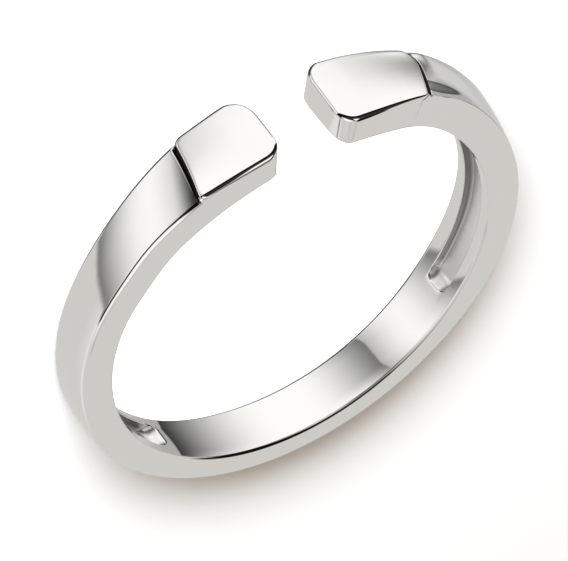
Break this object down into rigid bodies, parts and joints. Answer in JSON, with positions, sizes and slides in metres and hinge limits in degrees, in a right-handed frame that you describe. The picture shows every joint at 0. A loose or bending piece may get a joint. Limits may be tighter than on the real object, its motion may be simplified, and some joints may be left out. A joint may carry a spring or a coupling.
{
  "type": "initial ring",
  "caption": "Open polished finger ring. Its flared ends carry flat rounded tablets that face each other across a small gap, and the inside of each shoulder is hollowed.",
  "frame": {"origin": "middle of the finger hole, halfway across the band", "axes": "+Z along the finger hole, up as the ring lies on its side; +Y from the middle of the hole to the gap; +X to the longer tablet"},
  "size_m": [0.02, 0.0197, 0.0032],
  "materials": {
    "polished_silver": "mirror polished white metal, satin in the relief channels"
  },
  "bodies": {
    "root": {"open_band": "polished_silver"}
  },
  "joints": []
}
